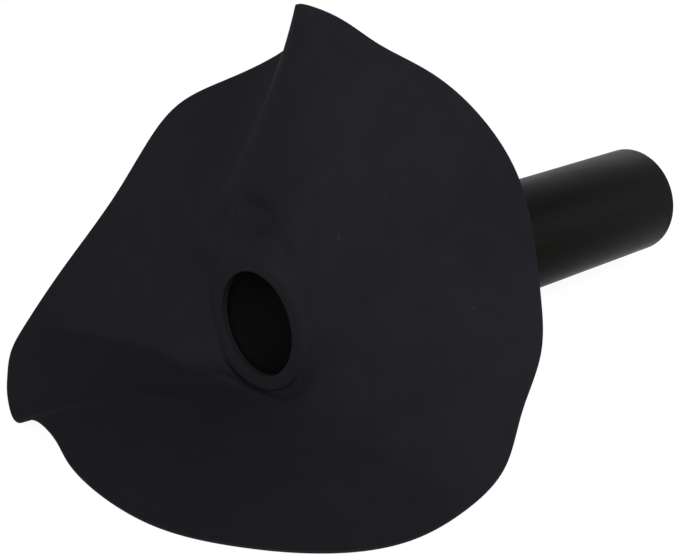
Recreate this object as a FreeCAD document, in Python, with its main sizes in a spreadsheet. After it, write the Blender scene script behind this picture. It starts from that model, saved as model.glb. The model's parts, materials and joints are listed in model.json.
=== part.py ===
import FreeCAD, Part
import math
import os

import Sketcher
from FreeCAD import Vector

# Roof drain outlet: a limp rubber membrane disc, moulded in one piece with the cup that caps the end of
# a plastic pipe. It lies as it is put down: the pipe level, the lower part of the disc bent forward on
# the floor, the upper part standing and leaning back, with a pleat at the top and a ridge at the left.
#
# Frame: millimetres, origin at the centre of the mouth, +Y along the pipe away from the mouth, +Z up.

# Driving dimensions
DIMENSIONS = {
    "pipe_diameter": 75.0,
    "pipe_wall": 3.0,
    "pipe_length": 355.0,
    "pipe_chamfer": 1.0,
    "bond_land": 0.5,
    "cuff_length": 30.0,
    "cuff_thickness": 2.5,
    "lip_overhang": 3.2,
    "lip_depth": 4.5,
    "lip_edge": 0.8,
    "collar_nose": 1.5,
    "sheet_diameter": 380.0,
    "sheet_thickness": 1.5,
    "sheet_setback": 1.6,
    "crease_drop": 4.0,
}

# Radii and places along the axis that follow from the driving dimensions, as expressions on the sheet
PIPE_RADIUS = "Sizes.pipe_diameter / 2"
BORE_RADIUS = f"{PIPE_RADIUS} - Sizes.pipe_wall"
LAND_RADIUS = f"{PIPE_RADIUS} - Sizes.bond_land"
COLLAR_RADIUS = f"{PIPE_RADIUS} + Sizes.cuff_thickness"
LIP_RADIUS = f"{BORE_RADIUS} - Sizes.lip_overhang"
PIPE_START = "Sizes.lip_depth"
CUFF_END = f"{PIPE_START} + Sizes.cuff_length"
PIPE_END = f"{PIPE_START} + Sizes.pipe_length"

# Rim of the draped disc where it stands: turn round the collar in degrees from +X,
# then the place to the right, back and up, in shares of the disc's radius
STANDING = [
    (2, 0.985, 0.075, 0.025),
    (10, 0.965, 0.165, 0.155),
    (18, 0.925, 0.205, 0.285),
    (30, 0.840, 0.255, 0.460),
    (40, 0.755, 0.290, 0.575),
    (52, 0.630, 0.290, 0.700),
    (65, 0.525, 0.210, 0.815),
    (80, 0.415, 0.110, 0.895),
    (98, 0.260, 0.070, 0.965),
    (110, 0.175, 0.030, 0.985),
    (113, 0.130, 0.065, 0.970),
    (120, -0.060, 0.265, 0.890),
    (128, -0.310, 0.505, 0.790),
    (134, -0.430, 0.520, 0.710),
    (145, -0.630, 0.430, 0.590),
    (154, -0.750, 0.325, 0.510),
    (165, -0.860, 0.255, 0.365),
    (179, -0.960, 0.165, 0.155),
    (194, -0.990, -0.030, -0.055),
    (204, -0.965, -0.160, -0.155),
]

# Rim where the disc lies: the turn, then the place to the right and forward in the same shares,
# and the lift of the rim off the floor
LYING = [
    (210, -0.930, 0.245, 0.025),
    (219, -0.830, 0.360, 0.0),
    (231, -0.645, 0.490, 0.0),
    (247, -0.400, 0.630, 0.025),
    (256, -0.245, 0.685, 0.045),
    (261, -0.180, 0.680, 0.075),
    (265, -0.120, 0.675, 0.065),
    (276, 0.080, 0.735, 0.055),
    (286, 0.255, 0.750, 0.030),
    (294, 0.390, 0.720, 0.0),
    (309, 0.650, 0.630, 0.0),
    (323, 0.845, 0.475, 0.0),
    (335, 0.940, 0.280, 0.0),
    (344, 0.965, 0.110, 0.030),
    (353, 0.995, 0.0, 0.120),
]

# The dimple over the collar and the bulges where the pleat dies out beside it: the turn and its spread in
# degrees, the share of the way out to the rim and its spread, and how far the disc is pushed right, back
# and up there, in millimetres
FOLDS = [
    (112, 22, 0.20, 0.10, 0.0, 8.0, 0.0),
    (116, 18, 0.36, 0.20, -18.0, 0.0, 0.0),
    (136, 20, 0.24, 0.17, 0.0, -13.0, 0.0),
]

# How far outside the collar the disc starts to bend, in millimetres
ROOT_OUT = 0.6
# Rows of the disc: how far inside the place where it starts to bend the ones in the collar lie, in
# millimetres, and for the others the shares of the way from there to the rim
ROOT_ROWS = (4.5, 1.2)
ROWS = (0.0, 0.04, 0.12, 0.24, 0.45, 1.0)
# Degrees of the rim that a line out from the collar is drawn towards, where it starts, and how many
# more at the pleat, which dies out on its way in: its turn and how far round from it this reaches
AIM_SPREAD = 16
PLEAT_SPREAD = 36
PLEAT_TURN = 112
PLEAT_REACH = 30
# Share of the way out from which the disc is free to fold
FREE_SHARE = 0.08
# Degree of the disc's skins from row to row, and the number of sectors that they are laid in
SURFACE_DEGREE = 3
SECTORS = 72
# Largest share of the collar that the disc's inner edge takes up
BURIED_SHARE = 0.1
# Size of a sketch before its constraints place it, and how close two equal lengths come
ROUGH_SIZE = 10.0
SAME_LENGTH = 1e-6


def make_sheet(doc):
    """Spreadsheet with one named cell for each driving dimension."""
    sheet = doc.addObject("Spreadsheet::Sheet", "Sizes")
    for row, (alias, value) in enumerate(DIMENSIONS.items(), start=1):
        sheet.set(f"A{row}", alias)
        sheet.set(f"B{row}", str(value))
        sheet.setAlias(f"B{row}", alias)
    doc.recompute()
    return sheet


def origin_plane(body, role):
    """The body's own origin plane with that role."""
    return next(f for f in body.Origin.OriginFeatures if f.Role == role)


def turned_body(doc, name, outline):
    """A body turned about the pipe's axis from a closed outline.

    Each corner of the outline is its radius and its place along the axis, as expressions on the sheet.
    """
    body = doc.addObject("PartDesign::Body", name)
    sketch = body.newObject("Sketcher::SketchObject", f"{name}_outline")
    sketch.AttachmentSupport = [(origin_plane(body, "XY_Plane"), "")]
    sketch.MapMode = "FlatFace"
    count = len(outline)
    rough = [Vector(1 + math.cos(angle), 1 + math.sin(angle), 0) * ROUGH_SIZE
             for angle in (2 * math.pi * n / count for n in range(count))]
    for n in range(count):
        sketch.addGeometry(Part.LineSegment(rough[n], rough[(n + 1) % count]), False)
    for n in range(count):
        sketch.addConstraint(Sketcher.Constraint("Coincident", n, 2, (n + 1) % count, 1))
    for n, (radius, along) in enumerate(outline):
        for kind, expression in (("DistanceX", radius), ("DistanceY", along)):
            index = sketch.addConstraint(Sketcher.Constraint(kind, -1, 1, n, 1, ROUGH_SIZE))
            sketch.renameConstraint(index, f"{kind}{n}")
            sketch.setExpression(f"Constraints.{kind}{n}", expression)
    doc.recompute()
    turn = body.newObject("PartDesign::Revolution", f"{name}_turned")
    turn.Profile = sketch
    turn.ReferenceAxis = (sketch, ["V_Axis"])
    turn.Angle = 360
    doc.recompute()
    return body


def bevel_edge(doc, body, name, radius, along, size):
    """Bevel the body's circular edge of that radius at that place along the axis."""
    base = body.Tip
    edges = [f"Edge{n}" for n, edge in enumerate(base.Shape.Edges, start=1)
             if isinstance(edge.Curve, Part.Circle)
             and abs(edge.Curve.Radius - radius) < SAME_LENGTH
             and abs(edge.Curve.Center.y - along) < SAME_LENGTH]
    bevel = body.newObject("PartDesign::Chamfer", name)
    bevel.Base = (base, edges)
    bevel.setExpression("Size", size)
    doc.recompute()


def outlet_pipe(doc):
    """Plain pipe, square cut, with its bonded end turned down to seat in the cuff."""
    return turned_body(doc, "outlet_pipe", [
        (BORE_RADIUS, PIPE_START),
        (LAND_RADIUS, PIPE_START),
        (LAND_RADIUS, CUFF_END),
        (PIPE_RADIUS, CUFF_END),
        (PIPE_RADIUS, f"{PIPE_END} - Sizes.pipe_chamfer"),
        (f"{PIPE_RADIUS} - Sizes.pipe_chamfer", PIPE_END),
        (BORE_RADIUS, PIPE_END),
    ])


def collar(doc, sheet):
    """Moulded cup on the pipe's end: a lip that overhangs the bore and a cuff round the outside."""
    body = turned_body(doc, "collar", [
        (LIP_RADIUS, "0"),
        (COLLAR_RADIUS, "0"),
        (COLLAR_RADIUS, CUFF_END),
        (LAND_RADIUS, CUFF_END),
        (LAND_RADIUS, PIPE_START),
        (LIP_RADIUS, PIPE_START),
    ])
    pipe_radius = sheet.pipe_diameter / 2
    lip_radius = pipe_radius - sheet.pipe_wall - sheet.lip_overhang
    bevel_edge(doc, body, "lip_edge", lip_radius, 0, "Sizes.lip_edge")
    bevel_edge(doc, body, "nose", pipe_radius + sheet.cuff_thickness, 0, "Sizes.collar_nose")
    return body


def rim_places(sheet, collar_radius):
    """Place of the rim at each turn round the collar, in order."""
    radius = sheet.sheet_diameter / 2
    floor = -(collar_radius + sheet.crease_drop)
    rim = {turn: Vector(right * radius, back * radius, up * radius)
           for turn, right, back, up in STANDING}
    rim.update({turn: Vector(right * radius, -forward * radius, floor + lift * radius)
                for turn, right, forward, lift in LYING})
    return dict(sorted(rim.items()))


def fold_push(turn, share):
    """How far the dimple and the bulges push the disc at a turn and a share of the way out."""
    push = Vector(0, 0, 0)
    for fold_turn, turn_spread, fold_share, share_spread, right, back, up in FOLDS:
        round_by = (turn - fold_turn) / turn_spread
        out_by = (share - fold_share) / share_spread
        push += Vector(right, back, up) * math.exp(-round_by ** 2 - out_by ** 2)
    return push


def aim_place(rim, turn, share):
    """Place that the line out at that turn runs towards, at that share of its way.

    Near the collar it is the middle of a stretch of the rim, and at the rim it is the place itself.
    """
    if share == 1:
        return rim[turn]
    in_pleat = math.exp(-((turn - PLEAT_TURN) / PLEAT_REACH) ** 2)
    spread = (AIM_SPREAD + PLEAT_SPREAD * in_pleat) * (1 - share)
    total = Vector(0, 0, 0)
    weights = 0.0
    for other, place in rim.items():
        away = abs(other - turn)
        weight = math.exp(-(min(away, 360 - away) / spread) ** 2)
        total += place * weight
        weights += weight
    return total / weights


def disc_rows(sheet):
    """Rows of points of the disc's middle layer, from inside the collar out to the rim.

    Nearly straight lines run from the collar to the rim, as in a limp sheet held at its centre, and the
    folds stand on them.
    """
    collar_radius = sheet.pipe_diameter / 2 + sheet.cuff_thickness
    layer = sheet.sheet_setback + sheet.sheet_thickness / 2
    rim = rim_places(sheet, collar_radius)
    rows = [[] for _ in ROOT_ROWS + ROWS]
    for turn in rim:
        angle = math.radians(turn)
        way_out = Vector(math.cos(angle), 0, math.sin(angle))
        edge = way_out * (collar_radius + ROOT_OUT) + Vector(0, layer, 0)
        points = [edge - way_out * inside for inside in ROOT_ROWS]
        for share in ROWS:
            free = min(1, share / FREE_SHARE)
            way = aim_place(rim, turn, share) - edge
            points.append(edge + way * share + fold_push(turn, share) * free)
        for row, point in zip(rows, points):
            row.append(point)
    return list(rim), rows


def front_ways(rows):
    """Vectors that stand on the front of the disc at each of its points, longer where it creases."""
    count = len(rows[0])
    in_collar = Vector(0, -1, 0)
    fronts = [[in_collar] * count for _ in ROOT_ROWS]
    for number in range(len(ROOT_ROWS), len(rows)):
        row = rows[number]
        inner = rows[number - 1]
        outer = rows[min(number + 1, len(rows) - 1)]
        line = []
        for n in range(count):
            along = row[(n + 1) % count] - row[n - 1]
            before = (row[n] - inner[n]).cross(along).normalize()
            after = (outer[n] - row[n]).cross(along).normalize() if outer is not row else before
            both = before + after
            line.append(both * (2 / both.Length ** 2))
        fronts.append(line)
    return fronts


def round_steps(turns, rim):
    """Values that grow round the disc, by the turn and by the length of the rim in equal parts."""
    count = len(rim)
    lengths = [(rim[(n + 1) % count] - rim[n]).Length for n in range(count)]
    whole = sum(lengths)
    steps = [0.0]
    for n in range(count):
        next_turn = turns[n + 1] if n + 1 < count else turns[0] + 360
        steps.append(steps[-1] + (next_turn - turns[n]) / 360 + lengths[n] / whole)
    return steps


def skin(steps, rows):
    """Smooth surface through the rows, closed round the collar and open out to the rim."""
    curves = []
    for row in rows:
        curve = Part.BSplineCurve()
        curve.interpolate(Points=row, PeriodicFlag=True, Parameters=steps)
        curves.append(curve)
    spans = len(rows) - SURFACE_DEGREE
    ends = SURFACE_DEGREE + 1
    surface = Part.BSplineSurface()
    surface.buildFromPolesMultsKnots(
        [curve.getPoles() for curve in curves],
        [ends] + [1] * (spans - 1) + [ends],
        curves[0].getMultiplicities(),
        [n / spans for n in range(spans + 1)],
        curves[0].getKnots(),
        False, True, SURFACE_DEGREE, curves[0].Degree)
    return surface


def disc(doc, sheet):
    """The draped membrane as a solid of even thickness, its inner edge buried in the collar.

    Its skins are laid in sectors, each with its stretch of the inner edge and of the rim.
    """
    turns, rows = disc_rows(sheet)
    steps = round_steps(turns, rows[-1])
    fronts = front_ways(rows)
    half = sheet.sheet_thickness / 2
    skins = []
    for side in (half, -half):
        moved = [[place + front * side for place, front in zip(row, line)]
                 for row, line in zip(rows, fronts)]
        skins.append(skin(steps, moved))
    width = (steps[-1] - steps[0]) / SECTORS
    faces = []
    for number in range(SECTORS):
        start = steps[0] + number * width
        pair = [surface.copy() for surface in skins]
        for surface in pair:
            surface.segment(0, 1, start, start + width)
            faces.append(surface.toShape())
        for share in (0, 1):
            edges = [surface.uIso(share).toShape() for surface in pair]
            faces.append(Part.makeRuledSurface(*edges))
    shell = Part.makeShell(faces)
    shell.sewShape()
    solid = Part.makeSolid(Part.makeShell(shell.Faces))
    if solid.Volume < 0:
        solid.reverse()
    feature = doc.addObject("Part::Feature", "disc")
    feature.Shape = solid
    feature.Placement = FreeCAD.Placement()
    return feature


def epdm_flange(doc, sheet):
    """Disc, collar and cuff as the one moulded rubber piece they are."""
    cup = collar(doc, sheet)
    membrane = disc(doc, sheet)
    flange = doc.addObject("Part::Fuse", "epdm_flange")
    flange.Base = cup
    flange.Tool = membrane
    doc.recompute()
    apart = cup.Shape.Volume + membrane.Shape.Volume
    if not apart - BURIED_SHARE * cup.Shape.Volume < flange.Shape.Volume < apart:
        raise RuntimeError("the disc and the collar did not join")
    return flange


def check(doc, pieces):
    """Stop if any object failed, or any piece is not one valid solid."""
    for item in doc.Objects:
        if {"Invalid", "Error"} & set(item.State):
            raise RuntimeError(f"{item.Name} failed: {item.State}")
    for piece in pieces:
        shape = piece.Shape
        if shape.isNull() or not shape.isValid() or len(shape.Solids) != 1:
            raise RuntimeError(f"{piece.Label} is not one valid solid")


def main():
    doc = FreeCAD.newDocument("roof_drain_outlet")
    sheet = make_sheet(doc)
    pieces = [outlet_pipe(doc), epdm_flange(doc, sheet)]
    for piece in pieces:
        piece.Label = piece.Name
        piece.Placement = FreeCAD.Placement()
    doc.recompute()
    check(doc, pieces)
    os.makedirs("parts", exist_ok=True)
    for piece in pieces:
        piece.Shape.exportStep(f"parts/{piece.Label}.step")
        print(f"{piece.Label}: {piece.Shape.Volume / 1000:.1f} cm3")


main()
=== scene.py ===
"""Roof drain outlet: a limp rubber membrane disc moulded to the end of a plastic drain pipe.

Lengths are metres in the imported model's frame: the origin at the centre of the mouth, +Y along the pipe
away from the mouth, and +Z up, as the outlet lies on the floor.
"""

import json
import logging
import math
from dataclasses import dataclass, field
from enum import Enum
from functools import cached_property
from typing import Any

import bpy
import numpy as np
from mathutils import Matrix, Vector


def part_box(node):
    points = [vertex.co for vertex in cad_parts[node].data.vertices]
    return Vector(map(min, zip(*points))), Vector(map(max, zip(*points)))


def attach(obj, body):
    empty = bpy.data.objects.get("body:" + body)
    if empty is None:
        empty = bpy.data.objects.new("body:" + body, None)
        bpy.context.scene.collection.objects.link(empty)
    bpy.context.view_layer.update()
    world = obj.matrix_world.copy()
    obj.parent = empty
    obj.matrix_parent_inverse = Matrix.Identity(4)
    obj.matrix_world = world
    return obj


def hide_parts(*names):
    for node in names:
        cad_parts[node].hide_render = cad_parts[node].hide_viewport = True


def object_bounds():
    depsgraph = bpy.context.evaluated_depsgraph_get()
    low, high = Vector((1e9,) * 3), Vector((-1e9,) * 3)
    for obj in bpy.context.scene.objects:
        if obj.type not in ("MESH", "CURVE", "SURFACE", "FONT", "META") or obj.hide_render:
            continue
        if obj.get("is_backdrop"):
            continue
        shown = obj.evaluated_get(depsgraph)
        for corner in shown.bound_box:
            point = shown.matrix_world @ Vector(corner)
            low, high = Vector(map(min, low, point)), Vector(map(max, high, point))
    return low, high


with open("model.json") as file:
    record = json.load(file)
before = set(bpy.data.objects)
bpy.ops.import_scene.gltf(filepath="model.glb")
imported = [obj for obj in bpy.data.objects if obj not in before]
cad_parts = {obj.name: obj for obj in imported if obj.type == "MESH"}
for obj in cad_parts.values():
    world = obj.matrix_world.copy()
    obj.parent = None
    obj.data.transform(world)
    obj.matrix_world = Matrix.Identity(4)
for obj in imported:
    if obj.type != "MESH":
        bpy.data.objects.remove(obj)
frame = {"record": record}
log = logging.getLogger("roof_drain_outlet")

MM = 0.001

# Sizes that both pieces share: how far the pipe's end is turned down, and where the cuff ends on it
BOND_LAND = 0.5 * MM
CUFF_END = 34.5 * MM

# Rim of the draped disc where it stands: turn round the collar in degrees from +X,
# then the place to the right, back and up, in shares of the disc's radius
STANDING_RIM = (
    (2, 0.985, 0.075, 0.025),
    (10, 0.965, 0.165, 0.155),
    (18, 0.925, 0.205, 0.285),
    (30, 0.840, 0.255, 0.460),
    (40, 0.755, 0.290, 0.575),
    (52, 0.630, 0.290, 0.700),
    (65, 0.525, 0.210, 0.815),
    (80, 0.415, 0.110, 0.895),
    (98, 0.260, 0.070, 0.965),
    (110, 0.175, 0.030, 0.985),
    (113, 0.130, 0.065, 0.970),
    (120, -0.060, 0.265, 0.890),
    (128, -0.310, 0.505, 0.790),
    (134, -0.430, 0.520, 0.710),
    (145, -0.630, 0.430, 0.590),
    (154, -0.750, 0.325, 0.510),
    (165, -0.860, 0.255, 0.365),
    (179, -0.960, 0.165, 0.155),
    (194, -0.990, -0.030, -0.055),
    (204, -0.965, -0.160, -0.155),
)

# Rim where the disc lies: the turn, then the place to the right and forward in the same shares,
# and the lift of the rim off the floor
LYING_RIM = (
    (210, -0.930, 0.245, 0.025),
    (219, -0.830, 0.360, 0.0),
    (231, -0.645, 0.490, 0.0),
    (247, -0.400, 0.630, 0.025),
    (256, -0.245, 0.685, 0.045),
    (261, -0.180, 0.680, 0.075),
    (265, -0.120, 0.675, 0.065),
    (276, 0.080, 0.735, 0.055),
    (286, 0.255, 0.750, 0.030),
    (294, 0.390, 0.720, 0.0),
    (309, 0.650, 0.630, 0.0),
    (323, 0.845, 0.475, 0.0),
    (335, 0.940, 0.280, 0.0),
    (344, 0.965, 0.110, 0.030),
    (353, 0.995, 0.0, 0.120),
)

# The dimple over the collar and the bulges where the pleat dies out beside it: the turn and its spread in
# degrees, the share of the way out to the rim and its spread, and how far the disc is pushed right, back
# and up there, in millimetres
DIMPLES = (
    (112, 22, 0.20, 0.10, 0.0, 8.0, 0.0),
    (116, 18, 0.36, 0.20, -18.0, 0.0, 0.0),
    (136, 20, 0.24, 0.17, 0.0, -13.0, 0.0),
)


class Node(Enum):
    """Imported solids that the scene's pieces stand for."""

    FLANGE = "epdm_flange"
    PIPE = "outlet_pipe"


class Slot(Enum):
    """Material slots of the record."""

    RUBBER = "epdm_rubber"
    PLASTIC = "pipe_plastic"


class Body(Enum):
    """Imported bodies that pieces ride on."""

    ROOT = "root"


def mount(name: str) -> dict[str, Any]:
    """The record's mount of that name."""
    return next(item for item in frame["record"]["mounts"] if item["name"] == name)


class Value:
    """A shader's value socket, with arithmetic that adds Math nodes."""

    def __init__(self, paint: "Paint", socket: bpy.types.NodeSocket) -> None:
        """Keep the socket and the paint that it belongs to."""
        self.paint = paint
        self.socket = socket

    def _maths(self, operation: str, *terms: "Value | float") -> "Value":
        """Add a Math node.

        Args:
            operation: The node's operation.
            terms: Its inputs in order, sockets or plain numbers.

        Returns:
            The node's result.
        """
        node = self.paint.node("ShaderNodeMath", {"operation": operation}, dict(enumerate(terms)))
        return Value(self.paint, node.outputs[0])

    def __add__(self, other: "Value | float") -> "Value":
        """Sum."""
        return self._maths("ADD", self, other)

    def __radd__(self, other: float) -> "Value":
        """Sum with a number on the left."""
        return self._maths("ADD", other, self)

    def __sub__(self, other: "Value | float") -> "Value":
        """Difference."""
        return self._maths("SUBTRACT", self, other)

    def __rsub__(self, other: float) -> "Value":
        """Difference from a number on the left."""
        return self._maths("SUBTRACT", other, self)

    def __mul__(self, other: "Value | float") -> "Value":
        """Product."""
        return self._maths("MULTIPLY", self, other)

    def __rmul__(self, other: float) -> "Value":
        """Product with a number on the left."""
        return self._maths("MULTIPLY", other, self)

    def least(self, other: "Value | float") -> "Value":
        """The smaller of two values."""
        return self._maths("MINIMUM", self, other)

    def rise(self, start: float, end: float) -> "Value":
        """Smooth step from 0 at the start to 1 at the end, which may be the lower value.

        Args:
            start: Where the step is 0.
            end: Where it is 1.

        Returns:
            The stepped value.
        """
        node = self.paint.node("ShaderNodeMapRange", {"interpolation_type": "SMOOTHSTEP", "clamp": True},
                               {"Value": self, "From Min": start, "From Max": end})
        return Value(self.paint, node.outputs["Result"])


Socket = Value | bpy.types.NodeSocket | float | tuple


class Paint:
    """The nodes of a material or of the world."""

    def __init__(self, owner: bpy.types.Material | bpy.types.World) -> None:
        """Start with no nodes.

        Args:
            owner: The material or the world.
        """
        owner.use_nodes = True
        self.tree = owner.node_tree
        self.tree.nodes.clear()

    @cached_property
    def coords(self) -> bpy.types.NodeSocket:
        """Object coordinates of the piece."""
        return self.node("ShaderNodeTexCoord").outputs["Object"]

    def node(self, kind: str, settings: dict[str, Any] | None = None,
             sockets: dict[str | int, Socket] | None = None) -> bpy.types.Node:
        """Add a node.

        Args:
            kind: The node's type.
            settings: Attributes of the node, set first.
            sockets: Values or links of its inputs, by name or number.

        Returns:
            The node.
        """
        made = self.tree.nodes.new(kind)
        for name, value in (settings or {}).items():
            setattr(made, name, value)
        for name, value in (sockets or {}).items():
            if isinstance(value, Value):
                value = value.socket
            if isinstance(value, bpy.types.NodeSocket):
                self.tree.links.new(value, made.inputs[name])
            else:
                made.inputs[name].default_value = value
        return made

    def stretched(self, scale: tuple[float, float, float]) -> bpy.types.NodeSocket:
        """Object coordinates scaled by axis, for a pattern that runs along the piece."""
        return self.node("ShaderNodeMapping", None, {"Vector": self.coords, "Scale": scale}).outputs[0]

    def noise(self, scale: float, detail: float = 3.0, roughness: float = 0.5,
              vector: bpy.types.NodeSocket | None = None) -> Value:
        """Cloudy value round 0.5.

        Args:
            scale: Clouds in a metre.
            detail: Octaves of finer cloud.
            roughness: Strength of the finer clouds.
            vector: Coordinates, if not the piece's own.

        Returns:
            The value.
        """
        node = self.node("ShaderNodeTexNoise", None, {
            "Vector": vector or self.coords, "Scale": scale, "Detail": detail, "Roughness": roughness})
        return Value(self, node.outputs["Fac"])

    def cells(self, scale: float) -> tuple[Value, bpy.types.NodeSocket]:
        """Distance to the nearest of scattered points, and a colour that differs from point to point.

        Args:
            scale: Points in a metre.

        Returns:
            The distance, in shares of the spacing, and the colour.
        """
        node = self.node("ShaderNodeTexVoronoi", {"feature": "F1"}, {"Vector": self.coords, "Scale": scale})
        return Value(self, node.outputs["Distance"]), node.outputs["Color"]

    def off_axis(self) -> Value:
        """Measure from the pipe's axis.

        Returns:
            The distance in metres.
        """
        across = self.node("ShaderNodeVectorMath", {"operation": "MULTIPLY"},
                           {0: self.coords, 1: (1, 0, 1)})
        length = self.node("ShaderNodeVectorMath", {"operation": "LENGTH"}, {0: across.outputs[0]})
        return Value(self, length.outputs["Value"])

    def background_rays(self) -> Value:
        """Tell the rays that show the plain background, straight or mirrored, from those that light.

        Returns:
            1 for a ray that shows it, and 0 for one that lights.
        """
        rays = self.node("ShaderNodeLightPath")
        shown = [Value(self, rays.outputs[f"Is {kind} Ray"])
                 for kind in ("Camera", "Glossy", "Transmission")]
        return (shown[0] + shown[1] + shown[2]).least(1.0)

    def part(self, colour: bpy.types.NodeSocket, channel: str) -> Value:
        """One channel of a colour as a value."""
        return Value(self, self.node("ShaderNodeSeparateColor", None, {"Color": colour}).outputs[channel])

    def blend(self, factor: Value, low: Socket, high: Socket) -> bpy.types.NodeSocket:
        """Mix of two colours.

        Args:
            factor: Share of the second colour.
            low: First colour.
            high: Second colour.

        Returns:
            The mixed colour.
        """
        node = self.node("ShaderNodeMix", {"data_type": "RGBA", "clamp_factor": True},
                         {0: factor, 6: low, 7: high})
        return node.outputs[2]

    def bump(self, height: Value, depth: float, strength: float) -> bpy.types.NodeSocket:
        """Normal of a fine relief.

        Args:
            height: The relief, from 0 to 1.
            depth: Its depth in metres.
            strength: Share of the relief that shows.

        Returns:
            The normal.
        """
        return self.node("ShaderNodeBump", None, {
            "Height": height, "Distance": depth, "Strength": strength}).outputs["Normal"]

    def surface(self, shader: bpy.types.Node) -> None:
        """Finish a material with its shader."""
        self.node("ShaderNodeOutputMaterial", None, {"Surface": shader.outputs[0]})


@dataclass(frozen=True)
class RubberFinish:
    """Matt black sheet rubber with a faint pale bloom, a fine calendered grain and a little dust.

    Scales are clouds or specks in a metre.
    """

    deep: tuple = (0.0112, 0.0115, 0.0136, 1)
    bloom: tuple = (0.0138, 0.0141, 0.0166, 1)
    dust: tuple = (0.09, 0.09, 0.095, 1)
    smooth: float = 0.66
    chalky: float = 0.82
    gloss: float = 0.007
    cloud_scale: float = 9
    mottle_scale: float = 70
    cloud_share: float = 0.6
    pale_range: tuple = (0.34, 0.68)
    grain_scale: float = 1100
    grain_share: float = 0.8
    grain_depth: float = 0.12 * MM
    grain_strength: float = 0.5
    speck_scale: float = 170
    speck_radius: float = 0.075
    speck_edge: float = 0.018
    speck_kept: tuple = (0.52, 0.54)
    speck_cover: float = 0.55
    speck_rough: float = 0.15

    def make(self) -> bpy.types.Material:
        """Mix the rubber.

        Returns:
            The rubber's material.
        """
        material = bpy.data.materials.new("membrane_rubber")
        paint = Paint(material)
        clouds = paint.noise(self.cloud_scale, detail=4, roughness=0.55)
        mottle = paint.noise(self.mottle_scale, detail=3, roughness=0.6)
        grain = paint.noise(self.grain_scale, detail=2, roughness=0.6)
        pale = (clouds * self.cloud_share + mottle * (1 - self.cloud_share)).rise(*self.pale_range)
        colour = paint.blend(pale, self.deep, self.bloom)
        away, which = paint.cells(self.speck_scale)
        speck_size = paint.part(which, "Red") * self.speck_radius
        kept = paint.part(which, "Green").rise(*self.speck_kept)
        specks = (speck_size - away).rise(0.0, self.speck_edge) * kept
        colour = paint.blend(specks * self.speck_cover, colour, self.dust)
        rough = self.smooth + (self.chalky - self.smooth) * pale + specks * self.speck_rough
        relief = grain * self.grain_share + mottle * (1 - self.grain_share)
        shader = paint.node("ShaderNodeBsdfPrincipled", None, {
            "Base Color": colour, "Roughness": rough, "Specular IOR Level": self.gloss,
            "Normal": paint.bump(relief, self.grain_depth, self.grain_strength)})
        paint.surface(shader)
        return material


@dataclass(frozen=True)
class PipeFinish:
    """Satin black extruded plastic with faint lengthwise draw lines and handling scuffs."""

    deep: tuple = (0.0040, 0.0037, 0.0034, 1)
    worn: tuple = (0.0066, 0.0062, 0.0056, 1)
    bore: tuple = (0.0045, 0.0045, 0.0045, 1)
    polished: float = 0.33
    dull: float = 0.46
    gloss: float = 0.02
    bore_radius: float = 34.5 * MM
    wall: float = 3.0 * MM
    unworn_wall: tuple = (0.5, 0.1)
    line_scale: tuple = (420, 5, 420)
    line_depth: float = 0.05 * MM
    line_strength: float = 0.35
    scuff_scale: tuple = (60, 22, 60)
    cloud_scale: float = 16
    worn_range: tuple = (0.42, 0.66)
    dull_range: tuple = (0.3, 0.7)

    def make(self) -> bpy.types.Material:
        """Mix the pipe's plastic.

        Returns:
            The pipe's material.
        """
        material = bpy.data.materials.new("pipe_plastic")
        paint = Paint(material)
        drawn = paint.noise(1, detail=3, roughness=0.6, vector=paint.stretched(self.line_scale))
        clouds = paint.noise(self.cloud_scale, detail=3, roughness=0.5)
        scuffs = paint.noise(1, detail=4, roughness=0.7, vector=paint.stretched(self.scuff_scale))
        worn = (drawn * 0.5 + scuffs * 0.5).rise(*self.worn_range)
        colour = paint.blend(worn, self.deep, self.worn)
        outer, inner = (self.bore_radius + share * self.wall for share in self.unworn_wall)
        unworn = paint.off_axis().rise(outer, inner)
        colour = paint.blend(unworn, colour, self.bore)
        dulled = (clouds * 0.5 + scuffs * 0.5).rise(*self.dull_range)
        rough = self.polished + (self.dull - self.polished) * dulled
        shader = paint.node("ShaderNodeBsdfPrincipled", None, {
            "Base Color": colour, "Roughness": rough, "Specular IOR Level": self.gloss,
            "Normal": paint.bump(drawn, self.line_depth, self.line_strength)})
        paint.surface(shader)
        return material


@dataclass(frozen=True)
class FloorFinish:
    """White studio floor that keeps a light shadow."""

    colour: tuple = (0.92, 0.92, 0.92, 1)
    clean: float = 0.8
    glow: float = 1.15

    def make(self) -> bpy.types.Material:
        """Mix the floor's paint.

        Returns:
            The floor's material.
        """
        material = bpy.data.materials.new("studio_floor")
        paint = Paint(material)
        card = paint.node("ShaderNodeBsdfDiffuse", None, {"Color": self.colour})
        white = paint.node("ShaderNodeEmission", None, {"Color": (1, 1, 1, 1), "Strength": self.glow})
        paint.surface(paint.node("ShaderNodeMixShader", None, {
            0: paint.background_rays() * self.clean, 1: card.outputs[0], 2: white.outputs[0]}))
        return material


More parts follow.
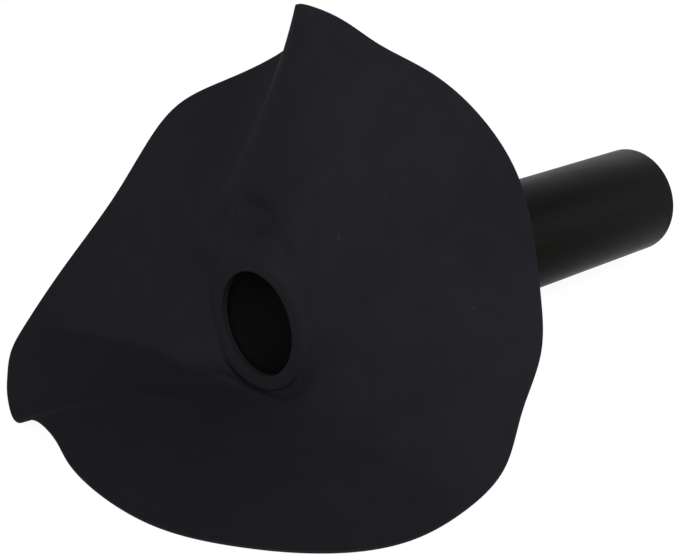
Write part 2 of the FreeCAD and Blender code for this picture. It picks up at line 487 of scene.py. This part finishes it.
class Bench:
    """Hand work on meshes with Blender's own tools."""

    weld: float = 1e-6

    @staticmethod
    def clear() -> None:
        """Leave nothing selected."""
        if bpy.context.object and bpy.context.object.mode != "OBJECT":
            bpy.ops.object.mode_set(mode="OBJECT")
        bpy.ops.object.select_all(action="DESELECT")

    @classmethod
    def turned(cls, name: str, profile: list[tuple[float, float]], steps: int) -> bpy.types.Object:
        """Turn a closed profile about the pipe's axis.

        Args:
            name: Name of the piece.
            profile: Radius and place along the axis of each corner, in order.
            steps: Number of steps in the full turn.

        Returns:
            The turned piece, a closed skin.
        """
        cls.clear()
        bpy.ops.mesh.primitive_circle_add(vertices=len(profile), fill_type="NOTHING", location=(0, 0, 0))
        piece = bpy.context.object
        piece.name = name
        piece.data.name = name
        for vertex, (radius, along) in zip(piece.data.vertices, profile):
            vertex.co = (radius, along, 0)
        bpy.ops.object.mode_set(mode="EDIT")
        bpy.ops.mesh.select_all(action="SELECT")
        bpy.ops.mesh.spin(steps=steps, angle=2 * math.pi, center=(0, 0, 0), axis=(0, 1, 0))
        bpy.ops.mesh.select_all(action="SELECT")
        bpy.ops.mesh.remove_doubles(threshold=cls.weld)
        bpy.ops.mesh.normals_make_consistent(inside=False)
        bpy.ops.object.mode_set(mode="OBJECT")
        return piece

    @classmethod
    def modify(cls, piece: bpy.types.Object, kind: str, **settings: Any) -> None:
        """Add a modifier to a piece and apply it.

        Args:
            piece: The piece.
            kind: The modifier's type.
            settings: Its settings.
        """
        cls.clear()
        bpy.context.view_layer.objects.active = piece
        piece.select_set(True)
        modifier = piece.modifiers.new(kind.lower(), kind)
        for name, value in settings.items():
            setattr(modifier, name, value)
        bpy.ops.object.modifier_apply(modifier=modifier.name)

    @classmethod
    def smooth(cls, piece: bpy.types.Object, degrees: float) -> None:
        """Shade a piece smooth.

        Args:
            piece: The piece.
            degrees: Angle past which an edge is kept crisp.
        """
        cls.clear()
        bpy.context.view_layer.objects.active = piece
        piece.select_set(True)
        bpy.ops.object.shade_smooth_by_angle(angle=math.radians(degrees))

    @staticmethod
    def dress(piece: bpy.types.Object, material: bpy.types.Material) -> None:
        """Give a piece its one material."""
        piece.data.materials.clear()
        piece.data.materials.append(material)

    @staticmethod
    def arc(centre: tuple[float, float], radius: float, start: float, end: float,
            count: int) -> list[tuple[float, float]]:
        """Points of an arc in a profile.

        Args:
            centre: Radius and place along the axis of its centre.
            radius: Radius of the arc.
            start: Angle of its first point in degrees.
            end: Angle of its last point.
            count: Number of points.

        Returns:
            The points, with both ends.
        """
        angles = [math.radians(start + (end - start) * n / (count - 1)) for n in range(count)]
        return [(centre[0] + radius * math.cos(a), centre[1] + radius * math.sin(a)) for a in angles]


class RoundCurve:
    """Smooth closed curve through points."""

    def __init__(self, steps: np.ndarray, points: np.ndarray) -> None:
        """Fit the curve.

        Args:
            steps: Value at each point, and at the first point again after the full round.
            points: The points, one in a row.
        """
        self.steps = steps
        self.points = np.vstack([points, points[:1]])
        gaps = np.diff(steps)
        slopes = np.diff(self.points, axis=0) / gaps[:, None]
        count = len(points)
        matrix = np.zeros((count, count))
        target = np.zeros_like(points)
        for n in range(count):
            before = gaps[n - 1]
            after = gaps[n]
            matrix[n, n - 1] += before
            matrix[n, n] += 2 * (before + after)
            matrix[n, (n + 1) % count] += after
            target[n] = 6 * (slopes[n] - slopes[n - 1])
        bends = np.linalg.solve(matrix, target)
        self.bends = np.vstack([bends, bends[:1]])

    def at(self, values: np.ndarray) -> np.ndarray:
        """Places on the curve.

        Args:
            values: Values between the first and the last step.

        Returns:
            One place in a row.
        """
        low = np.clip(np.searchsorted(self.steps, values, side="right") - 1, 0, len(self.steps) - 2)
        gap = (self.steps[low + 1] - self.steps[low])[:, None]
        near = (values - self.steps[low])[:, None] / gap
        far = 1 - near
        straight = far * self.points[low] + near * self.points[low + 1]
        bent = (far ** 3 - far) * self.bends[low] + (near ** 3 - near) * self.bends[low + 1]
        return straight + bent * gap ** 2 / 6


class Crest(Enum):
    """How sharply a fold is pressed."""

    SOFT = 2.0
    CRISP = 1.15


@dataclass(frozen=True)
class Fold:
    """A ridge or groove pressed into the disc along a path.

    The path is turns in degrees and shares of the disc's radius. The height is towards the front, and below
    nought for a groove. Width and height are in millimetres. The fold fades over a share of its length at
    both ends.
    """

    path: tuple[tuple[float, float], ...]
    width: float
    height: float
    crest: Crest = Crest.SOFT
    fade: float = 0.3
    path_steps: int = 24

    def line(self, radius: float) -> np.ndarray:
        """Places along the smooth path on the flat disc.

        Args:
            radius: Radius of the disc.

        Returns:
            Close places in order.
        """
        corners = np.array([(radius * share * math.cos(math.radians(turn)),
                             radius * share * math.sin(math.radians(turn))) for turn, share in self.path])
        corners = np.vstack([2 * corners[0] - corners[1], corners, 2 * corners[-1] - corners[-2]])
        places = []
        for n in range(1, len(corners) - 2):
            before, start, end, after = corners[n - 1:n + 3]
            for t in np.linspace(0, 1, self.path_steps, endpoint=False):
                pull = (end - before) * t * (1 - t) ** 2 - (after - start) * t ** 2 * (1 - t)
                places.append(start + (end - start) * (3 * t ** 2 - 2 * t ** 3) + pull / 2)
        places.append(corners[-2])
        return np.array(places)

    def lift(self, flat: np.ndarray, radius: float) -> np.ndarray:
        """How far the fold lifts each place of the flat disc towards the front.

        Args:
            flat: Places on the flat disc.
            radius: Radius of the disc.

        Returns:
            The lift in metres.
        """
        line = self.line(radius)
        along = np.linspace(0, 1, len(line))
        strength = np.clip(np.minimum(along, 1 - along) / self.fade, 0, 1)
        strength = strength * strength * (3 - 2 * strength)
        away = np.linalg.norm(flat[:, :, None, :] - line[None, None, :, :], axis=3)
        nearest = away.argmin(axis=2)
        across = np.take_along_axis(away, nearest[:, :, None], axis=2)[:, :, 0] / (self.width * MM)
        return self.height * MM * strength[nearest] * np.exp(-across ** self.crest.value)


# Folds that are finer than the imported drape
FOLDS = (
    # Sharp ridge that runs in from the left of the rim, and the swell below it
    Fold(((254.2, 1.0), (254.2, 0.92), (253.9, 0.79), (254.2, 0.625), (256, 0.45)),
         2.6, 1.3, Crest.CRISP, 0.25),
    Fold(((256.8, 1.0), (256.8, 0.82), (256.8, 0.66), (257.5, 0.48)), 9.0, 2.6, Crest.SOFT, 0.2),
    # Hollow under the light band at the left, and the thin ridge that leads from it under the collar
    Fold(((209, 0.97), (209.5, 0.81), (211.5, 0.65), (217, 0.48), (230, 0.375), (248, 0.32)),
         20.0, -5.5, Crest.CRISP),
    Fold(((236, 0.30), (250, 0.272), (265, 0.262), (285, 0.265), (302, 0.29)), 4.0, 1.4),
    # Groove beside the collar, the bead outside it, and the hollow at the collar's lower right
    Fold(((150, 0.40), (167, 0.30), (185, 0.245), (205, 0.226), (235, 0.223), (262, 0.223), (285, 0.232),
          (312, 0.28)), 2.4, -2.0, Crest.SOFT, 0.2),
    Fold(((200, 0.243), (225, 0.240), (250, 0.240), (272, 0.243)), 1.6, 0.8),
    Fold(((294, 0.25), (312, 0.25), (330, 0.26), (344, 0.285)), 9.0, -3.2, Crest.SOFT, 0.45),
    # Dimple over the collar, where the pleat ends, its floor, and the stroke that leads out of it
    Fold(((160, 0.36), (151, 0.385), (142, 0.395), (129, 0.39), (116, 0.378), (103, 0.352), (90, 0.318),
          (77, 0.285)), 9.0, -7.0),
    Fold(((150, 0.335), (134, 0.33), (118, 0.32), (104, 0.30), (92, 0.275)), 11.0, -3.5),
    Fold(((104, 0.36), (80, 0.295), (58, 0.27)), 5.0, -1.6, Crest.SOFT, 0.35),
    # Soft edge at the upper left, and the hollow left of it
    Fold(((163, 0.92), (160.5, 0.72), (158.5, 0.55), (157, 0.41), (162, 0.29)), 14.0, 4.0, Crest.CRISP),
    Fold(((187, 1.0), (187, 0.80), (187, 0.60), (190, 0.40)), 26.0, -3.0),
)


@dataclass(frozen=True)
class Drape:
    """How the limp disc stands, lies and folds round the collar."""

    collar_radius: float
    disc_radius: float
    layer: float
    floor: float
    root_out: float = 0.6 * MM
    root_rows: tuple = (4.5 * MM, 1.2 * MM)
    rows: tuple = (0.0, 0.04, 0.12, 0.24, 0.45, 1.0)
    aim_spread: float = 16
    pleat_turn: float = 112
    pleat_reach: float = 30
    pleat_spread: float = 36
    crest_spread: float = 24
    crest_start: float = 0.25
    crest_rise: float = 0.10
    crest_end: float = 0.12
    crest_pull: float = 0.5
    crest_rounds: int = 40
    free_share: float = 0.08
    degree: int = 3
    fine_steps: int = 2001

    @property
    def root(self) -> float:
        """Radius at which the disc starts to bend."""
        return self.collar_radius + self.root_out

    def stations(self) -> tuple[np.ndarray, np.ndarray]:
        """Turn and place of each station of the rim.

        Returns:
            The turns in degrees, in order, and the places.
        """
        rim = list(STANDING_RIM)
        ground = self.floor / self.disc_radius
        rim += [(turn, right, -forward, ground + lift) for turn, right, forward, lift in LYING_RIM]
        table = np.array(sorted(rim), float)
        return table[:, 0], table[:, 1:] * self.disc_radius

    def aims(self, turns: np.ndarray, rim: np.ndarray, share: float) -> np.ndarray:
        """Places that the lines out from the collar run towards at a share of their way.

        Args:
            turns: Turn of each station.
            rim: Place of each station.
            share: Share of the way from the collar to the rim.

        Returns:
            Near the collar the middle of a stretch of the rim, and at the rim its own places.
        """
        if share == 1:
            return rim
        away = np.abs(turns[:, None] - turns[None, :])
        away = np.minimum(away, 360 - away)
        from_pleat = np.abs(turns - self.pleat_turn) / self.pleat_reach
        spread = self.aim_spread + self.pleat_spread * np.exp(-from_pleat ** 2)
        weights = np.exp(-(away / (spread[:, None] * (1 - share))) ** 2)
        return weights @ rim / weights.sum(axis=1)[:, None]

    @staticmethod
    def dimple(turns: np.ndarray, share: float) -> np.ndarray:
        """How far the dimple and the bulges push the disc.

        Args:
            turns: Turn of each station in degrees.
            share: Share of the way out to the rim.

        Returns:
            One push for each station.
        """
        push = np.zeros((len(turns), 3))
        for turn, turn_spread, place, place_spread, *way in DIMPLES:
            depth = np.exp(-((turns - turn) / turn_spread) ** 2 - ((share - place) / place_spread) ** 2)
            push += depth[:, None] * np.array(way) * MM
        return push

    def curves(self) -> list[RoundCurve]:
        """Draw the disc's middle layer.

        Returns:
            Closed curves, from inside the collar out to the rim.
        """
        turns, rim = self.stations()
        lengths = np.linalg.norm(np.roll(rim, -1, axis=0) - rim, axis=1)
        gaps = np.diff(np.append(turns, turns[0] + 360)) / 360 + lengths / lengths.sum()
        steps = np.concatenate([[0.0], np.cumsum(gaps)])
        angles = np.radians(turns)
        way_out = np.stack([np.cos(angles), np.zeros_like(angles), np.sin(angles)], axis=1)
        edge = way_out * self.root + np.array((0, self.layer, 0))
        rings = [edge - way_out * inside for inside in self.root_rows]
        for share in self.rows:
            way = self.aims(turns, rim, share) - edge
            rings.append(edge + way * share + self.dimple(turns, share) * min(1, share / self.free_share))
        return [RoundCurve(steps, ring) for ring in rings]

    def weights(self, values: np.ndarray) -> np.ndarray:
        """Share of each curve in the smooth skin that they hold.

        Args:
            values: How far out, from 0 at the first curve to 1 at the last.

        Returns:
            A row of shares for each value.
        """
        count = len(self.root_rows) + len(self.rows)
        spans = count - self.degree
        knots = np.concatenate([np.zeros(self.degree), np.arange(spans + 1) / spans, np.ones(self.degree)])
        values = np.clip(values, 0, 1 - 1e-9)
        basis = [((low <= values) & (values < high)).astype(float) for low, high in zip(knots, knots[1:])]
        for degree in range(1, self.degree + 1):
            raised = []
            for i in range(len(basis) - 1):
                rising = knots[i + degree] - knots[i]
                falling = knots[i + degree + 1] - knots[i + 1]
                total = np.zeros_like(values)
                if rising > 0:
                    total += (values - knots[i]) / rising * basis[i]
                if falling > 0:
                    total += (knots[i + degree + 1] - values) / falling * basis[i + 1]
                raised.append(total)
            basis = raised
        return np.stack(basis, axis=1)

    def middle(self, outs: np.ndarray, columns: int) -> tuple[np.ndarray, np.ndarray]:
        """The draped middle layer.

        Args:
            outs: Radii on the flat disc.
            columns: Number of places round the disc.

        Returns:
            Places by radius and column, and the turn of each column at the collar in radians.
        """
        curves = self.curves()
        steps = np.linspace(0, curves[0].steps[-1], columns, endpoint=False)
        rings = np.stack([curve.at(steps) for curve in curves])
        radii = np.array([self.root - inside for inside in self.root_rows]
                         + [self.root + (self.disc_radius - self.root) * share for share in self.rows])
        fine = np.linspace(0, 1, self.fine_steps)
        values = np.interp(outs, self.weights(fine) @ radii, fine)
        places = np.einsum("ij,jkl->ikl", self.weights(values), rings)
        turns = np.unwrap(np.arctan2(rings[0, :, 2], rings[0, :, 0]))
        return places, turns

    def rounded(self, places: np.ndarray, turns: np.ndarray, outs: np.ndarray) -> np.ndarray:
        """Round the pleat's crest between the collar and the rim.

        Args:
            places: Places of the middle layer by radius and column.
            turns: Turn of each column in radians.
            outs: Radii on the flat disc.

        Returns:
            The places with the crest rounded.
        """
        beside = np.exp(-((np.degrees(turns) % 360 - self.pleat_turn) / self.crest_spread) ** 2)
        share = outs / self.disc_radius
        between = np.clip((share - self.crest_start) / self.crest_rise, 0, 1)
        between *= np.clip((1 - share) / self.crest_end, 0, 1)
        weight = (between[:, None] * beside[None, :])[:, :, None] * self.crest_pull
        for _ in range(self.crest_rounds):
            mean = (np.roll(places, 1, axis=1) + np.roll(places, -1, axis=1)) / 2
            places = places + weight * (mean - places)
        return places

    @staticmethod
    def fronts(places: np.ndarray) -> np.ndarray:
        """Unit vectors that stand on the disc's front.

        Args:
            places: Places of the middle layer by radius and column.

        Returns:
            One vector for each place.
        """
        out = np.gradient(places, axis=0)
        round_it = np.roll(places, -1, axis=1) - np.roll(places, 1, axis=1)
        front = np.cross(out, round_it)
        return front / np.linalg.norm(front, axis=2)[:, :, None]


@dataclass
class MembraneFlange:
    """The rubber piece: draped disc, collar with its lip, and the cuff on the pipe."""

    columns: int = 480
    rings: int = 46
    ring_ease: float = 0.25
    lip_edge: float = 0.5 * MM
    lip_rows: tuple = (1, 0.75, 0.4)
    nose: float = 1.5 * MM
    face_steps: int = 5
    heel_fillet: float = 1.2 * MM
    heel_step: float = 0.2 * MM
    heel_rows: tuple = (0.4, 0.6)
    cuff_thickness: float = 2.5 * MM
    cuff_end: float = CUFF_END
    cuff_edge: float = 0.6 * MM
    cuff_steps: int = 6
    bond_land: float = BOND_LAND
    disc_diameter: float = 380 * MM
    thickness: float = 1.5 * MM
    setback: float = 1.6 * MM
    crease_drop: float = 4.0 * MM
    cut_edge: float = 0.3 * MM
    folds: tuple[Fold, ...] = FOLDS
    face_end: float = 37.5 * MM
    shoulder_end: float = 45.0 * MM
    crease_turn: float = 245
    crease_half: float = 60
    crease_fade: float = 45
    near: float = 0.01 * MM
    crisp_angle: float = 38
    finish: RubberFinish = field(default_factory=RubberFinish)

    def __post_init__(self) -> None:
        """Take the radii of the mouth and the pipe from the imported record."""
        self.mouth_radius = mount("mouth")["dims"]["r_mm"] * MM
        self.pipe_radius = mount("spigot")["dims"]["r_mm"] * MM
        self.pipe_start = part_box(Node.PIPE.value)[0].y
        self.collar_radius = self.pipe_radius + self.cuff_thickness
        self.layer = self.setback + self.thickness / 2
        self.drape = Drape(self.collar_radius, self.disc_diameter / 2, self.layer,
                           -(self.collar_radius + self.crease_drop))

    def outs(self) -> np.ndarray:
        """Space the disc's rings, closer together near the collar and at the rim.

        Returns:
            Their radii on the flat disc.
        """
        rim = self.disc_diameter / 2
        share = np.linspace(0, 1, self.rings)
        eased = self.ring_ease * share + (1 - self.ring_ease) * share ** 2
        start = self.drape.root
        radii = start + (rim - self.cut_edge - start) * eased
        return np.append(radii, rim)

    def profile(self) -> list[tuple[float, float]]:
        """Closed profile of the flat piece, from the lip's back round by the front.

        Returns:
            Radius and place along the axis of each corner.
        """
        half = self.thickness / 2
        lip = self.mouth_radius
        back = self.pipe_start
        land = self.pipe_radius - self.bond_land
        *outs, rim = self.outs()
        points = [(lip, back * share) for share in self.lip_rows]
        points += Bench.arc((lip + self.lip_edge, self.lip_edge), self.lip_edge, 180, 270, count=5)
        flat_start = lip + self.lip_edge
        flat_end = self.collar_radius - self.nose
        points += [(flat_start + (flat_end - flat_start) * n / self.face_steps, 0)
                   for n in range(1, self.face_steps)]
        points += Bench.arc((flat_end, self.nose), self.nose, 270, 355, count=7)
        points += [(out, self.layer - half) for out in outs]
        points += [(rim, self.layer - half + self.cut_edge), (rim, self.layer),
                   (rim, self.layer + half - self.cut_edge)]
        points += [(out, self.layer + half) for out in reversed(outs)]
        heel = self.layer + half + self.heel_fillet
        before, after = (row * self.heel_fillet for row in self.heel_rows)
        points += [(self.drape.root - self.heel_step, heel - before), (self.collar_radius, heel + after)]
        points += [(self.collar_radius, back + (self.cuff_end - back) * n / self.cuff_steps)
                   for n in range(1, self.cuff_steps)]
        edge = self.cuff_edge
        points += Bench.arc((self.collar_radius - edge, self.cuff_end - edge), edge, 0, 90, count=5)
        points += [(land, self.cuff_end), (land, back)]
        return points

    def build(self) -> bpy.types.Object:
        """Model the piece and place it in the frame.

        Returns:
            The finished piece.
        """
        piece = Bench.turned("membrane_flange", self.profile(), self.columns)
        self.hang(piece)
        Bench.smooth(piece, self.crisp_angle)
        Bench.dress(piece, self.finish.make())
        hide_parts(Node.FLANGE.value)
        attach(piece, Body.ROOT.value)
        return piece

    def hang(self, piece: bpy.types.Object) -> None:
        """Drape the flat disc, vertex by vertex, and leave the collar as it is turned.

        Args:
            piece: The turned piece.
        """
        mesh = piece.data
        flat = np.empty(len(mesh.vertices) * 3)
        mesh.vertices.foreach_get("co", flat)
        flat = flat.reshape(-1, 3)
        outs = self.outs()
        places, turns = self.drape.middle(outs, self.columns)
        places = self.drape.rounded(places, turns, outs)
        fronts = self.drape.fronts(places)
        flat_disc = np.stack([outs[:, None] * np.cos(turns), outs[:, None] * np.sin(turns)], axis=2)
        for fold in self.folds:
            places = places + fronts * fold.lift(flat_disc, self.disc_diameter / 2)[:, :, None]
        places = self.drape.rounded(places, turns, outs)
        fronts = self.drape.fronts(places)
        radius = np.hypot(flat[:, 0], flat[:, 2])
        angle = np.arctan2(flat[:, 2], flat[:, 0])
        column = np.rint(angle / (2 * math.pi) * self.columns).astype(int) % self.columns
        turn = turns[column]
        moved = np.stack([radius * np.cos(turn), flat[:, 1], radius * np.sin(turn)], axis=1)
        on_disc = radius > outs[0] - self.near
        ring = np.abs(radius[on_disc, None] - outs[None, :]).argmin(axis=1)
        lift = (self.layer - flat[on_disc, 1])[:, None]
        moved[on_disc] = places[ring, column[on_disc]] + fronts[ring, column[on_disc]] * lift
        self.round_shoulder(flat, moved, radius, column, turns, places, fronts)
        mesh.vertices.foreach_set("co", moved.ravel())
        mesh.update()

    def round_shoulder(self, flat: np.ndarray, moved: np.ndarray, radius: np.ndarray, column: np.ndarray,
                       turns: np.ndarray, places: np.ndarray, fronts: np.ndarray) -> None:
        """Run the collar's face into the disc's front in one round shoulder, but not where it is creased.

        Args:
            flat: Vertices of the flat piece.
            moved: Vertices of the draped piece, which are changed.
            radius: Radius of each vertex on the flat piece.
            column: Column of each vertex.
            turns: Turn of each column in radians.
            places: Middle layer of the disc by ring and column.
            fronts: Vectors on its front.
        """
        outs = self.outs()
        last = int(np.searchsorted(outs, self.shoulder_end))
        way_out = np.stack([np.cos(turns), np.zeros_like(turns), np.sin(turns)], axis=1)
        start = way_out * self.face_end
        skin = places + fronts * self.thickness / 2
        end = skin[last]
        leaving = skin[last + 1] - skin[last - 1]
        leaving /= np.linalg.norm(leaving, axis=1)[:, None]
        reach = np.linalg.norm(end - start, axis=1)[:, None]
        chosen = (flat[:, 1] < self.layer) & (radius > self.face_end) & (radius < outs[last] + self.near)
        t = ((radius[chosen] - self.face_end) / (outs[last] - self.face_end))[:, None]
        at = column[chosen]
        path = (start[at] * (1 + 2 * t) * (1 - t) ** 2 + end[at] * t ** 2 * (3 - 2 * t)
                + reach[at] * (way_out[at] * t * (1 - t) ** 2 - leaving[at] * t ** 2 * (1 - t)))
        degrees = np.degrees(turns[at]) % 360
        from_crease = np.abs((degrees - self.crease_turn + 180) % 360 - 180)
        share = np.clip((from_crease - self.crease_half) / self.crease_fade, 0, 1)[:, None]
        share = share * share * (3 - 2 * share)
        moved[chosen] = moved[chosen] * (1 - share) + path * share


@dataclass
class DrainPipe:
    """The straight plastic pipe, its end turned down to seat in the cuff."""

    steps: int = 192
    bond_land: float = BOND_LAND
    cuff_end: float = CUFF_END
    far_chamfer: float = 1.0 * MM
    edge: float = 0.2 * MM
    edge_segments: int = 2
    crisp_angle: float = 30
    finish: PipeFinish = field(default_factory=PipeFinish)

    def __post_init__(self) -> None:
        """Take the pipe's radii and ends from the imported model."""
        low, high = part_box(Node.PIPE.value)
        self.start = low.y
        self.end = high.y
        self.radius = mount("spigot")["dims"]["r_mm"] * MM
        self.bore = mount("pipe_bore")["dims"]["r_mm"] * MM

    def build(self) -> bpy.types.Object:
        """Model the piece and place it in the frame.

        Returns:
            The finished piece.
        """
        land = self.radius - self.bond_land
        profile = [
            (self.bore, self.start), (land, self.start),
            (land, self.cuff_end), (self.radius, self.cuff_end),
            (self.radius, self.end - self.far_chamfer), (self.radius - self.far_chamfer, self.end),
            (self.bore, self.end),
        ]
        piece = Bench.turned("drain_pipe", profile, self.steps)
        Bench.modify(piece, "BEVEL", width=self.edge, segments=self.edge_segments, limit_method="ANGLE",
                     angle_limit=math.radians(self.crisp_angle))
        Bench.smooth(piece, self.crisp_angle)
        Bench.dress(piece, self.finish.make())
        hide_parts(Node.PIPE.value)
        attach(piece, Body.ROOT.value)
        return piece


@dataclass(frozen=True)
class Lamp:
    """A soft square lamp that points at the outlet."""

    name: str
    place: tuple[float, float, float]
    size: float
    power: float

    def hang(self) -> None:
        """Add the lamp to the scene."""
        Bench.clear()
        bpy.ops.object.light_add(type="AREA", location=self.place)
        lamp = bpy.context.object
        lamp.name = self.name
        lamp.data.shape = "SQUARE"
        lamp.data.size = self.size
        lamp.data.energy = self.power
        lamp.rotation_euler = (-Vector(self.place)).to_track_quat("-Z", "Y").to_euler()


@dataclass
class Studio:
    """White floor, soft light and the camera at the photograph's place."""

    floor_size: float = 12.0
    sky: float = 0.05
    eye: tuple = (0.603, -0.499, 0.314)
    look: tuple = (-0.6847, 0.6424, -0.3443)
    lens: float = 77.4
    sensor: float = 36.0
    lamps: tuple[Lamp, ...] = (
        Lamp("key_lamp", (1.08, -1.54, 0.69), 1.3, 42.0),
        Lamp("right_lamp", (1.41, 0.0, 1.41), 1.2, 11.0),
        Lamp("left_lamp", (-1.79, -0.32, 0.85), 1.2, 8.0),
        Lamp("rim_lamp", (1.33, 1.33, 0.68), 1.2, 12.0),
        Lamp("back_lamp", (-0.9, 1.6, 0.8), 1.4, 3.0),
    )
    finish: FloorFinish = field(default_factory=FloorFinish)

    def build(self, height: float) -> None:
        """Set the stage.

        Args:
            height: Height of the floor.
        """
        self.lay_floor(height)
        self.light()
        self.aim_camera()

    def lay_floor(self, height: float) -> None:
        """Lay the floor.

        Args:
            height: Height of the floor.
        """
        Bench.clear()
        bpy.ops.mesh.primitive_plane_add(size=self.floor_size, location=(0, 0, height))
        floor = bpy.context.object
        floor.name = "studio_floor"
        Bench.dress(floor, self.finish.make())
        floor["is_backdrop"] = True

    def light(self) -> None:
        """Hang the lamps and set the white surroundings."""
        for lamp in self.lamps:
            lamp.hang()
        world = bpy.data.worlds.new("studio")
        paint = Paint(world)
        soft = paint.node("ShaderNodeBackground", None, {"Color": (1, 1, 1, 1), "Strength": self.sky})
        white = paint.node("ShaderNodeBackground", None, {"Color": (1, 1, 1, 1), "Strength": 1.0})
        mix = paint.node("ShaderNodeMixShader", None, {
            0: paint.background_rays(), 1: soft.outputs[0], 2: white.outputs[0]})
        paint.node("ShaderNodeOutputWorld", None, {"Surface": mix.outputs[0]})
        bpy.context.scene.world = world
        bpy.context.scene.view_settings.view_transform = "Standard"

    def aim_camera(self) -> None:
        """Put the camera where the photograph was taken."""
        Bench.clear()
        bpy.ops.object.camera_add(location=self.eye)
        camera = bpy.context.object
        camera.name = "photo_camera"
        camera.data.lens = self.lens
        camera.data.sensor_width = self.sensor
        camera.rotation_euler = Vector(self.look).to_track_quat("-Z", "Y").to_euler()
        bpy.context.scene.camera = camera


def main() -> None:
    """Build the outlet and its stage."""
    logging.basicConfig(level=logging.INFO, format="%(name)s: %(message)s")
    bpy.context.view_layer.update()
    for maker in (DrainPipe(), MembraneFlange()):
        piece = maker.build()
        log.info("%s: %d vertices", piece.name, len(piece.data.vertices))
    low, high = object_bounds()
    Studio().build(low.z)
    log.info("sizes written")


if __name__ == "__main__":
    main()
